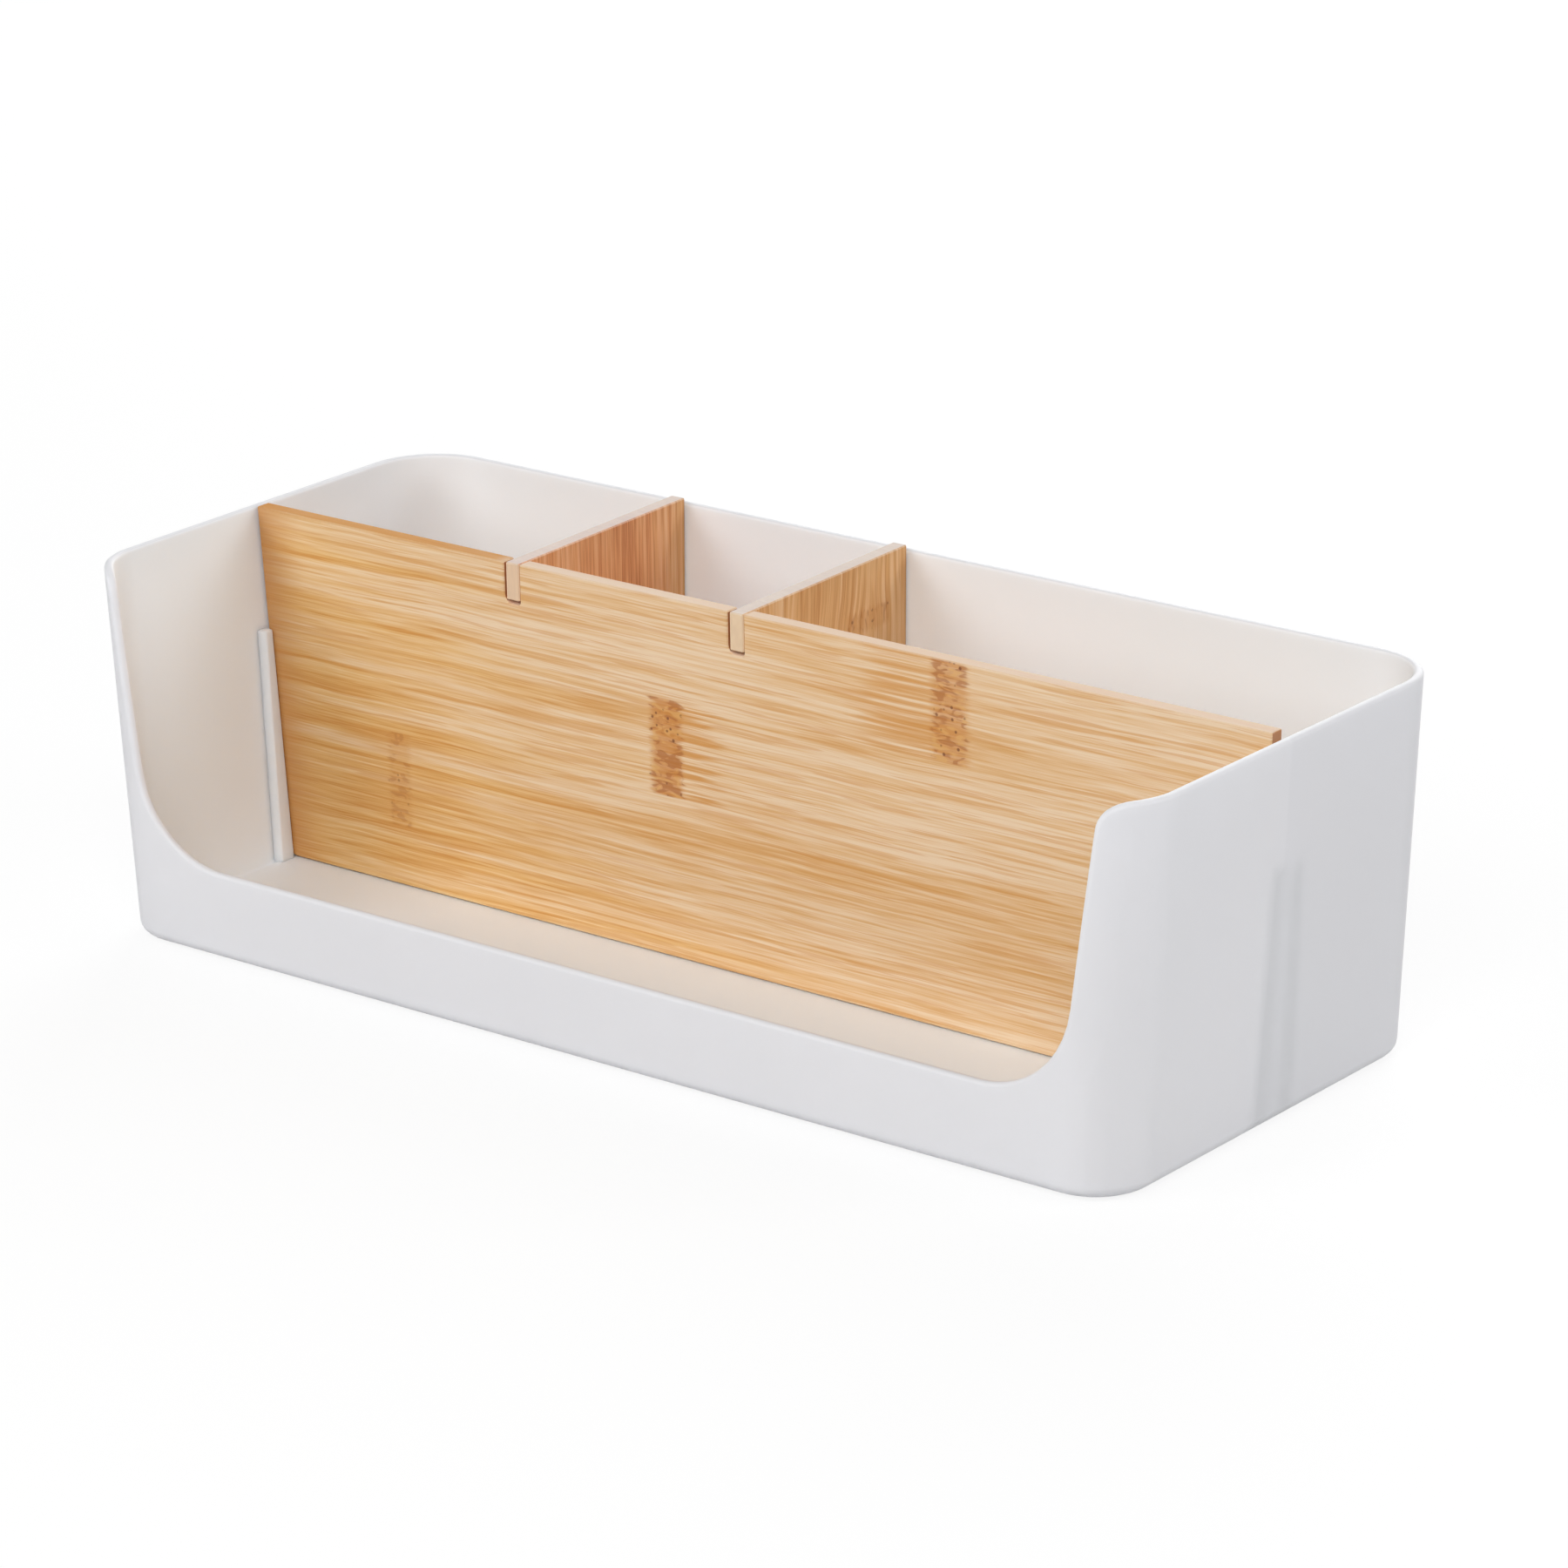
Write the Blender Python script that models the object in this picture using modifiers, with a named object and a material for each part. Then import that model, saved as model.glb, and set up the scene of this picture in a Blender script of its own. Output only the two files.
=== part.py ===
"""Compartment storage box: an open-front moulded tray with lift-out bamboo dividers.

Units are metres. The tray stands on four pads at Z = 0. The origin is the middle of its
rim in plan, its long side lies along X and its open front faces -Y.
"""
import math

import bmesh
import bpy
from mathutils import Matrix, Vector

# Tray, measured outside at the rim unless a name says otherwise
TRAY_LENGTH = 0.300
TRAY_DEPTH = 0.124
TRAY_HEIGHT = 0.0898
WALL = 0.0022
FLOOR = 0.0026
END_DRAFT = math.radians(3.8)
FACE_DRAFT = math.radians(1.55)
RIM_CORNER_RADIUS = 0.0182
BASE_EDGE_RADIUS = 0.0030
CAVITY_EDGE_RADIUS = 0.0016
RIM_ROUNDING = 0.0005

# Opening in the front wall, whose sides lean outwards from the lip to the rim
LIP_HEIGHT = 0.0217
OPENING_LOW_WIDTH = 0.2615
OPENING_HIGH_WIDTH = 0.2818
OPENING_FILLET = 0.0250
OPENING_RIM_RADIUS = 0.0070

# Guide ribs, which stand in pairs on the walls and hold the dividers' ends between them
RIB_HEIGHT = 0.0600
RIB_REACH = 0.0023
RIB_LOW_WIDTH = 0.0045
RIB_HIGH_WIDTH = 0.0025
RIB_RAMP = 0.0008
RIB_ROUNDING = 0.0004

# Bamboo boards
BOARD_THICKNESS = 0.0040
BOARD_RISE = 0.0002
BOARD_TOP_RADIUS = 0.0004
BOARD_FOOT_RADIUS = 0.0022
BOARD_EDGE_ROUNDING = 0.0003
LONG_BOARD_SETBACK = 0.0016
LONG_BOARD_RIGHT_PLAY = 0.0028
CROSS_BOARD_REAR_RISE = 0.0012

# Slots in the long divider's top edge, one for each cross divider's tab
LEFT_SLOT_X = -0.0674
RIGHT_SLOT_X = -0.0010
SLOT_DEPTH = 0.0100
SLOT_LEFT_RADIUS = 0.0020
SLOT_RIGHT_RADIUS = 0.0008
SLOT_LEFT_PLAY = 0.0006
SLOT_RIGHT_PLAY = 0.0001
SLOT_FLOOR_PLAY = 0.0009

# Anti-slip pads let into the underside
PAD_RADIUS = 0.0050
PAD_STAND = 0.0007
PAD_RECESS = 0.0010
PAD_INSET_X = 0.0260
PAD_INSET_Y = 0.0200
PAD_ROUNDING = 0.0002

# Fits, and how far a cutter runs past what it cuts
CLEARANCE = 0.0003
END_CLEARANCE = 0.0005
OVERRUN = 0.0100

CORNER_STEPS = 12
FILLET_STEPS = 14
EDGE_STEPS = 4
BEVEL_STEPS = 2
PAD_SIDES = 40
SHARP_ANGLE = math.radians(50)
FLAT_ANGLE = math.radians(0.5)
WELD_SHARE = 0.001

WHITE = (0.85, 0.85, 0.87, 1.0)
BAMBOO = (0.71, 0.46, 0.22, 1.0)
DARK_BAMBOO = (0.56, 0.29, 0.12, 1.0)
PAD_GREY = (0.55, 0.55, 0.55, 1.0)

# Levels and faces that several pieces share
BASE_Z = PAD_STAND
RIM_Z = BASE_Z + TRAY_HEIGHT
FLOOR_Z = BASE_Z + FLOOR
BOARD_TOP_Z = RIM_Z + BOARD_RISE
BOARD_FOOT_Z = FLOOR_Z + CLEARANCE
SLOT_FLOOR_Z = BOARD_TOP_Z - SLOT_DEPTH
LONG_BOARD_FRONT_Y = -LONG_BOARD_SETBACK
LONG_BOARD_BACK_Y = LONG_BOARD_FRONT_Y + BOARD_THICKNESS
SLOT_WIDTH = BOARD_THICKNESS + SLOT_LEFT_PLAY + SLOT_RIGHT_PLAY
CROSS_DIVIDERS = (("left_cross_divider", LEFT_SLOT_X), ("right_cross_divider", RIGHT_SLOT_X))


def clear_scene():
    for item in list(bpy.data.objects):
        bpy.data.objects.remove(item, do_unlink=True)


def make_collection(name):
    collection = bpy.data.collections.new(name)
    bpy.context.scene.collection.children.link(collection)
    return collection


def make_material(name, colour, roughness):
    material = bpy.data.materials.new(name)
    material.use_nodes = True
    shader = material.node_tree.nodes["Principled BSDF"]
    shader.inputs["Base Color"].default_value = colour
    shader.inputs["Roughness"].default_value = roughness
    shader.inputs["Metallic"].default_value = 0.0
    material.diffuse_color = colour
    return material


def finish_mesh(name, bm):
    """Turn a bmesh into a mesh that is shaded smooth between its sharp edges."""
    bmesh.ops.recalc_face_normals(bm, faces=bm.faces)
    mesh = bpy.data.meshes.new(name)
    bm.to_mesh(mesh)
    bm.free()
    mesh.shade_smooth()
    mesh.set_sharp_from_angle(angle=SHARP_ANGLE)
    return mesh


def add_object(name, mesh, collection, location=(0, 0, 0), quarter_turns=0):
    item = bpy.data.objects.new(name, mesh)
    item.location = location
    item.rotation_euler.z = quarter_turns * math.pi / 2
    collection.objects.link(item)
    return item


def rounded_outline(corners, steps):
    """Points round a polygon whose corners, given as (a, b, radius), are rounded by arcs."""
    points = []
    for index, (a, b, radius) in enumerate(corners):
        here = Vector((a, b))
        before = (Vector(corners[index - 1][:2]) - here).normalized()
        after = (Vector(corners[(index + 1) % len(corners)][:2]) - here).normalized()
        if radius == 0:
            points.append(here)
            continue
        half_angle = before.angle(after) / 2
        centre = here + (before + after).normalized() * radius / math.sin(half_angle)
        start = here + before * radius / math.tan(half_angle) - centre
        turn = start.angle_signed(here + after * radius / math.tan(half_angle) - centre)
        for step in range(steps + 1):
            points.append(centre + Matrix.Rotation(-turn * step / steps, 2) @ start)
    return points


def loft_mesh(name, sections):
    """A closed solid through rings that have the same number of points."""
    bm = bmesh.new()
    rings = [[bm.verts.new(point) for point in section] for section in sections]
    for low, high in zip(rings, rings[1:]):
        for index in range(len(low)):
            after = (index + 1) % len(low)
            bm.faces.new((low[index], low[after], high[after], high[index]))
    bm.faces.new(reversed(rings[0]))
    bm.faces.new(rings[-1])
    return finish_mesh(name, bm)


def plate_mesh(name, outline, thickness):
    """A flat plate drawn in the XZ plane, its front face at Y = 0 and its back at thickness."""
    curve = bpy.data.curves.new(name, "CURVE")
    curve.dimensions = "2D"
    curve.fill_mode = "BOTH"
    curve.extrude = thickness / 2
    spline = curve.splines.new("POLY")
    spline.points.add(len(outline) - 1)
    for spline_point, point in zip(spline.points, outline):
        spline_point.co = (point.x, point.y, 0, 1)
    spline.use_cyclic_u = True
    drawn = bpy.data.objects.new(name, curve)
    drawn.rotation_euler.x = math.pi / 2
    drawn.location.y = thickness / 2
    bpy.context.scene.collection.objects.link(drawn)
    bpy.context.view_layer.update()
    graph = bpy.context.evaluated_depsgraph_get()
    filled = bpy.data.meshes.new_from_object(drawn.evaluated_get(graph))
    bm = bmesh.new()
    bm.from_mesh(filled)
    bm.transform(drawn.matrix_world)
    bmesh.ops.remove_doubles(bm, verts=bm.verts, dist=thickness * WELD_SHARE)
    bmesh.ops.dissolve_limit(bm, angle_limit=FLAT_ANGLE, verts=bm.verts, edges=bm.edges)
    bpy.data.meshes.remove(filled)
    bpy.data.objects.remove(drawn, do_unlink=True)
    bpy.data.curves.remove(curve)
    return finish_mesh(name, bm)


def disc_mesh(name, radius, height):
    """A short cylinder that stands on Z = 0."""
    bm = bmesh.new()
    bmesh.ops.create_cone(bm, cap_ends=True, segments=PAD_SIDES, radius1=radius, radius2=radius,
                          depth=height)
    bmesh.ops.translate(bm, verts=bm.verts, vec=(0, 0, height / 2))
    return finish_mesh(name, bm)


def combine(target, tool, operation):
    tool.hide_render = True
    tool.display_type = "WIRE"
    modifier = target.modifiers.new(operation.title() + " " + tool.name, "BOOLEAN")
    modifier.operation = operation
    modifier.object = tool
    modifier.solver = "EXACT"


def soften(item, width, steps):
    modifier = item.modifiers.new("Rounded edges", "BEVEL")
    modifier.width = width
    modifier.segments = steps
    modifier.limit_method = "ANGLE"
    modifier.angle_limit = SHARP_ANGLE
    modifier.use_clamp_overlap = True


def lean(z, draft):
    """How far a drafted wall has drawn in at height z, from where it is at the rim."""
    return (RIM_Z - z) * math.tan(draft)


def half_length(z, inset):
    return TRAY_LENGTH / 2 - lean(z, END_DRAFT) - inset


def half_depth(z, inset):
    return TRAY_DEPTH / 2 - lean(z, FACE_DRAFT) - inset


def tray_section(z, inset):
    """The tray's plan outline at one height, drawn in from the outer face by inset."""
    x = half_length(z, inset)
    y = half_depth(z, inset)
    radius = RIM_CORNER_RADIUS - (lean(z, END_DRAFT) + lean(z, FACE_DRAFT)) / 2 - inset
    corners = ((x, y, radius), (-x, y, radius), (-x, -y, radius), (x, -y, radius))
    return [Vector((point.x, point.y, z)) for point in rounded_outline(corners, CORNER_STEPS)]


def vessel_mesh(name, bottom_z, top_z, inset, edge_radius):
    """A drafted, rounded box whose bottom edge is rounded off."""
    sections = []
    for step in range(EDGE_STEPS + 1):
        angle = math.pi / 2 * step / EDGE_STEPS
        z = bottom_z + edge_radius * (1 - math.cos(angle))
        sections.append(tray_section(z, inset + edge_radius * (1 - math.sin(angle))))
    sections.append(tray_section(top_z, inset))
    return loft_mesh(name, sections)


def opening_outline():
    """Front view of what is cut from the front wall, run on above the rim."""
    low_z = BASE_Z + LIP_HEIGHT
    high_z = RIM_Z + OVERRUN
    low_x = OPENING_LOW_WIDTH / 2
    high_x = OPENING_HIGH_WIDTH / 2
    outer_x = TRAY_LENGTH / 2
    outer_z = RIM_Z + CLEARANCE
    corners = [(-low_x, low_z, OPENING_FILLET), (low_x, low_z, OPENING_FILLET),
               (high_x, RIM_Z, OPENING_RIM_RADIUS), (outer_x, outer_z, 0), (outer_x, high_z, 0),
               (-outer_x, high_z, 0), (-outer_x, outer_z, 0), (-high_x, RIM_Z, OPENING_RIM_RADIUS)]
    return rounded_outline(corners, FILLET_STEPS)


def cross_board_face_x(slot_x):
    """Where a cross divider's right face stands, close to the right side of its slot."""
    return slot_x + SLOT_WIDTH / 2 - SLOT_RIGHT_PLAY


def rib_pairs():
    """For each pair: its name, its wall, the quarter turns that bring the right end's wall to
    that wall, and the two faces of the board it holds, as Y before that turn."""
    yield "right_end", half_length, 0, LONG_BOARD_FRONT_Y, LONG_BOARD_BACK_Y
    yield "left_end", half_length, 2, -LONG_BOARD_BACK_Y, -LONG_BOARD_FRONT_Y
    for name, slot_x in CROSS_DIVIDERS:
        low_y = -cross_board_face_x(slot_x)
        yield name, half_depth, 1, low_y, low_y + BOARD_THICKNESS


def rib_mesh(name, wall_at, face_y, side):
    """A rib on a wall that faces -X, its flat side at face_y and its width towards side * Y."""
    sections = []
    for z, width in ((FLOOR_Z - FLOOR / 2, RIB_LOW_WIDTH), (BASE_Z + RIB_HEIGHT, RIB_HIGH_WIDTH)):
        wall_x = wall_at(z, WALL)
        plan = ((wall_x + WALL / 2, 0), (wall_x - RIB_REACH, 0), (wall_x - RIB_REACH, width),
                (wall_x, width + RIB_RAMP), (wall_x + WALL / 2, width + RIB_RAMP))
        sections.append([Vector((x, face_y + side * y, z)) for x, y in plan])
    return loft_mesh(name, sections)


def add_guide_ribs(tray, cutters):
    for pair, wall_at, quarter_turns, low_y, high_y in rib_pairs():
        for half, face_y, side in (("a", low_y - CLEARANCE, -1), ("b", high_y + CLEARANCE, 1)):
            name = f"{pair}_guide_rib_{half}"
            rib = add_object(name, rib_mesh(name, wall_at, face_y, side), cutters,
                             quarter_turns=quarter_turns)
            soften(rib, RIB_ROUNDING, BEVEL_STEPS)
            combine(tray, rib, "UNION")


def pad_places():
    """Name and middle of each pad, set in from the underside's four corners."""
    x = half_length(BASE_Z, PAD_INSET_X)
    y = half_depth(BASE_Z, PAD_INSET_Y)
    return (("front_left_pad", -x, -y), ("front_right_pad", x, -y),
            ("rear_left_pad", -x, y), ("rear_right_pad", x, y))


def make_tray(parts, cutters, material):
    tray = add_object("tray", vessel_mesh("tray", BASE_Z, RIM_Z, 0, BASE_EDGE_RADIUS), parts)
    tray.data.materials.append(material)
    cavity_mesh = vessel_mesh("tray_cavity", FLOOR_Z, RIM_Z + OVERRUN, WALL, CAVITY_EDGE_RADIUS)
    combine(tray, add_object("tray_cavity", cavity_mesh, cutters), "DIFFERENCE")
    opening_mesh = plate_mesh("front_opening", opening_outline(), OVERRUN + RIM_CORNER_RADIUS + WALL)
    opening = add_object("front_opening", opening_mesh, cutters, (0, -TRAY_DEPTH / 2 - OVERRUN, 0))
    combine(tray, opening, "DIFFERENCE")
    soften(tray, RIM_ROUNDING, BEVEL_STEPS)
    add_guide_ribs(tray, cutters)
    recess_mesh = disc_mesh("pad_recess", PAD_RADIUS + CLEARANCE, OVERRUN + PAD_RECESS)
    for name, x, y in pad_places():
        recess = add_object(name + "_recess", recess_mesh, cutters, (x, y, BASE_Z - OVERRUN))
        combine(tray, recess, "DIFFERENCE")


def make_long_divider(parts, material):
    """The board along the tray, with a slot in its top edge for each cross divider. Its right
    end leaves more play at the top than at the foot."""
    foot_x = half_length(BOARD_FOOT_Z, WALL + END_CLEARANCE)
    top_x = half_length(BOARD_TOP_Z, WALL + END_CLEARANCE)
    corners = [(-foot_x, BOARD_FOOT_Z, BOARD_FOOT_RADIUS), (foot_x, BOARD_FOOT_Z, BOARD_FOOT_RADIUS),
               (top_x - LONG_BOARD_RIGHT_PLAY, BOARD_TOP_Z, BOARD_TOP_RADIUS)]
    for slot_x in (RIGHT_SLOT_X, LEFT_SLOT_X):
        left_x = slot_x - SLOT_WIDTH / 2
        right_x = slot_x + SLOT_WIDTH / 2
        corners += [(right_x, BOARD_TOP_Z, 0), (right_x, SLOT_FLOOR_Z, SLOT_RIGHT_RADIUS),
                    (left_x, SLOT_FLOOR_Z, SLOT_LEFT_RADIUS), (left_x, BOARD_TOP_Z, 0)]
    corners.append((-top_x, BOARD_TOP_Z, BOARD_TOP_RADIUS))
    mesh = plate_mesh("long_divider", rounded_outline(corners, EDGE_STEPS), BOARD_THICKNESS)
    mesh.materials.append(material)
    board = add_object("long_divider", mesh, parts, (0, LONG_BOARD_FRONT_Y, 0))
    soften(board, BOARD_EDGE_ROUNDING, 1)


def make_cross_dividers(parts, material):
    """Two like boards from the long divider to the back wall, each with a tab for its slot.
    Their top edges climb a little towards the back wall."""
    tab_z = SLOT_FLOOR_Z + SLOT_FLOOR_PLAY
    rear_z = BOARD_TOP_Z + CROSS_BOARD_REAR_RISE
    front = BOARD_THICKNESS + CLEARANCE
    foot = half_depth(BOARD_FOOT_Z, WALL + CLEARANCE) - LONG_BOARD_FRONT_Y
    rear = half_depth(rear_z, WALL + CLEARANCE) - LONG_BOARD_FRONT_Y
    corners = [(front, BOARD_FOOT_Z, BOARD_TOP_RADIUS), (foot, BOARD_FOOT_Z, BOARD_FOOT_RADIUS),
               (rear, rear_z, BOARD_TOP_RADIUS), (0, BOARD_TOP_Z, 0), (0, tab_z, 0),
               (front, tab_z, 0)]
    mesh = plate_mesh("cross_divider", rounded_outline(corners, EDGE_STEPS), BOARD_THICKNESS)
    mesh.materials.append(material)
    for name, slot_x in CROSS_DIVIDERS:
        place = (cross_board_face_x(slot_x), LONG_BOARD_FRONT_Y, 0)
        soften(add_object(name, mesh, parts, place, quarter_turns=1), BOARD_EDGE_ROUNDING, 1)


def make_pads(parts, material):
    mesh = disc_mesh("pad", PAD_RADIUS, PAD_STAND + PAD_RECESS - CLEARANCE)
    mesh.materials.append(material)
    for name, x, y in pad_places():
        soften(add_object(name, mesh, parts, (x, y, 0)), PAD_ROUNDING, 1)


def main():
    clear_scene()
    parts = make_collection("compartment_storage_box")
    cutters = make_collection("cutters")
    make_tray(parts, cutters, make_material("white_plastic", WHITE, 0.45))
    make_long_divider(parts, make_material("bamboo", BAMBOO, 0.5))
    make_cross_dividers(parts, make_material("dark_bamboo", DARK_BAMBOO, 0.5))
    make_pads(parts, make_material("pad_rubber", PAD_GREY, 0.8))


if __name__ == "__main__":
    main()
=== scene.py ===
"""Compartment storage box: an open-front white tray with lift-out bamboo dividers."""

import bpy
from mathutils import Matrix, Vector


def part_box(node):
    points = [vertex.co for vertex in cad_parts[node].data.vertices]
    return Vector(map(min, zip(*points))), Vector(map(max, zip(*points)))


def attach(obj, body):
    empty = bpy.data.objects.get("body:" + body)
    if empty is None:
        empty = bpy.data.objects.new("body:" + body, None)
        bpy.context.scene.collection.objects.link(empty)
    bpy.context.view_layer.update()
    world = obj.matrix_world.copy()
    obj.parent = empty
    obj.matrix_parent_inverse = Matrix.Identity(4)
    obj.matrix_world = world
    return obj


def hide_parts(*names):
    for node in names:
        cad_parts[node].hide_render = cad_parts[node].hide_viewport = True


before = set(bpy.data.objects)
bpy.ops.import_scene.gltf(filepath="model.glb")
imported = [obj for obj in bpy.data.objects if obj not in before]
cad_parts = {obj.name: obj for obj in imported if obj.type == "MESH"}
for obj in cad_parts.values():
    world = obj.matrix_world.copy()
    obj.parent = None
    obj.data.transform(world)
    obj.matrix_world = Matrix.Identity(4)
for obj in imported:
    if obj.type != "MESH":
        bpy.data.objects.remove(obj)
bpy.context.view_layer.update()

import math

import bmesh
import bpy
from bpy.props import FloatProperty, FloatVectorProperty, IntProperty, PointerProperty
from bpy.types import Operator, Panel, PropertyGroup
from mathutils import Matrix, Vector

bl_info = {
    "name": "Compartment storage box",
    "version": (1, 0, 0),
    "blender": (4, 5, 0),
    "location": "3D View > Sidebar > Storage box",
    "description": "Models the tray, dresses its bamboo dividers and pads, and lights them",
    "category": "Object",
}

MM = 0.001
TRAY_LOW, TRAY_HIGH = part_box("tray")
BOARD_LOW, BOARD_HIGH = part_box("long_divider")
PADS = ("front_left_pad", "front_right_pad", "rear_left_pad", "rear_right_pad")
CROSS_DIVIDERS = ("left_cross_divider", "right_cross_divider")

# The end walls lean out by this angle, in degrees, which is END_SLOPE for each millimetre of
# height. They would stand END_STAND mm from the middle at the level that the box stands on.
END_DRAFT = 3.8
END_SLOPE = math.tan(math.radians(END_DRAFT))
END_STAND = TRAY_HIGH.x / MM - TRAY_HIGH.z / MM * END_SLOPE

# Faces of the tray's skin along the opening: below the lower half of its fillet, in each
# third of its side, and along the upper half of its shoulder.
FILLET_STEPS = 7
SIDE_STEPS = 5
SHOULDER_STEPS = 4

# The guide ribs are wider at the foot than at the top, and wider still where they meet the
# wall. The boards have RIB_PLAY on each side.
RIB_TOP_WIDTH = 2.5 * MM
RIB_FOOT_WIDTH = 4.5 * MM
RIB_FLARE = 0.8 * MM
RIB_ROUNDING = 0.5 * MM
RIB_PLAY = 0.3 * MM

# Each pad lies in a round recess with a little play.
RECESS_DEPTH = 1.0 * MM
RECESS_PLAY = 0.3 * MM
CUTTER_HEIGHT = 10.0 * MM

# Edges that bend by more than this, in degrees, are rounded at the rim, and shaded as sharp.
RIM_ANGLE = 50.0
SHARP_ANGLE = 35.0

# Painted shade: an end wall's outside is painted greyer, to PAINTED_SHADE_SHARE of its white,
# where the long board and the guide ribs inside shade the thin plastic, and over the wall
# behind them. In mm: how far the long board's part reaches in front of the box's middle and
# behind it, the heights between which the guide ribs add to it, and how much they add at the
# foot, which shrinks with height.
PAINTED_SHADE_SHARE = 0.95
BOARD_FRONT = 1.6
BOARD_BACK = 2.4
RIBS_END = (61.5, 59.0)
RIBS_WIDTH = 4.6
RIBS_SHRINK = 0.033

# The inside floor's painted tint against the inner walls', a little bluer to offset the warm
# light that the boards throw onto it, and the heights, in mm, between which it sets in.
FLOOR_PAINTED_TINT = (1.0, 1.02, 1.025)
FLOOR_LEVEL = (7.0, 4.0)

# The boards are glued up from strips along the grain, in mm. Each knuckle is one strip's
# joint: its place along the grain, the strip's lower and upper edge, over which it fades by
# STRIP_EDGE, its half width, its strength, and how far the stain beside it reaches.
STRIP_START = -6.5
STRIP_WIDTH = 24.4
STRIP_EDGE = 0.8
LONG_KNUCKLES = ((59.2, 66.5, 91.0, 5.2, 0.7, -22.0), (-22.0, 42.5, 66.5, 4.8, 1.0, 14.0),
                 (-104.6, 18.0, 42.5, 3.6, 0.35, -16.0))
CROSS_KNUCKLES = ((77.7, 36.0, 53.0, 2.8, 0.4, 9.0),)

# Each lamp's setting, its place and the side of its square, in metres. All face LAMP_TARGET.
LAMPS = (("front_left", (-0.8, -1.5, 0.95), 1.0), ("front_high", (0.7, -1.2, 1.2), 1.0),
         ("right_back", (1.5, 0.7, 0.8), 0.9), ("back", (-0.5, 1.4, 0.7), 1.0))
LAMP_TARGET = Vector((0.0, 0.0, 0.04))

# The camera was fitted to the photograph, in pixels of its 1800 x 1800 picture: the focal
# length, the scale at the target, and the target's pixel. The target is in metres.
PICTURE_SIDE = 1800.0
FOCAL_PIXELS = 7235.0
PIXELS_PER_METRE = 5044.0
TARGET_PIXEL = (857.108, 919.169)
TARGET = Vector((0.0, 0.0, 0.0457))
SENSOR_WIDTH = 36.0

WHITE = (1.0, 1.0, 1.0, 1.0)


def colour_property(name, description, default):
    return FloatVectorProperty(name=name, description=description, default=default, size=3,
                               min=0.0, max=1.0, subtype="COLOR")


def length_property(name, description, millimetres):
    return FloatProperty(name=name, description=description, default=millimetres * MM, min=0.0,
                         subtype="DISTANCE", unit="LENGTH", precision=5)


def angle_property(name, description, degrees):
    return FloatProperty(name=name, description=description, default=math.radians(degrees),
                         subtype="ANGLE", unit="ROTATION")


def power_property(name, description, watts):
    return FloatProperty(name=name, description=description, default=watts, min=0.0,
                         subtype="POWER", unit="POWER")


class TraySettings(PropertyGroup):
    wall: length_property("Wall", "Thickness of the moulded wall", 2.2)
    floor: length_property("Floor", "Thickness of the moulded floor", 2.6)
    end_draft: angle_property("End draft", "Outward lean of the two end walls", END_DRAFT)
    face_draft: angle_property("Face draft", "Outward lean of the front and back walls", 1.55)
    corner_radius: length_property("Corner radius", "Upright corners, at the rim", 18.2)
    base_edge: length_property("Base edge", "Rounding of the outer bottom edge", 3.0)
    rim_edge: length_property("Rim edge", "Rounding of the rim's two edges", 0.9)
    lip_height: length_property("Lip height", "Front lip above the base", 21.7)
    opening_low: length_property("Opening, low width", "Opening's width at the lip", 261.5)
    opening_high: length_property("Opening, high width", "Opening's width at the rim", 281.8)
    opening_fillet: length_property("Opening fillet", "Radius between lip and sides", 25.0)
    opening_shoulder: length_property("Opening shoulder", "Radius between sides and rim", 7.0)
    rib_height: length_property("Rib height", "Top of the guide ribs above the base", 60.0)
    rib_reach: length_property("Rib reach", "How far a guide rib stands off its wall", 2.3)
    corner_steps: IntProperty(name="Corner steps", description="Faces round an upright corner",
                              default=18, min=SHOULDER_STEPS + 1, max=48)
    # Lit and shaded copies of one white plastic: the inner skin is painted lighter than the
    # outer, for the light that fills the box's inside.
    outside: colour_property("Outside", "White of the outer skin", (0.82, 0.825, 0.86))
    inside: colour_property("Inside", "White of the inner skin", (0.915, 0.935, 0.965))


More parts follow.
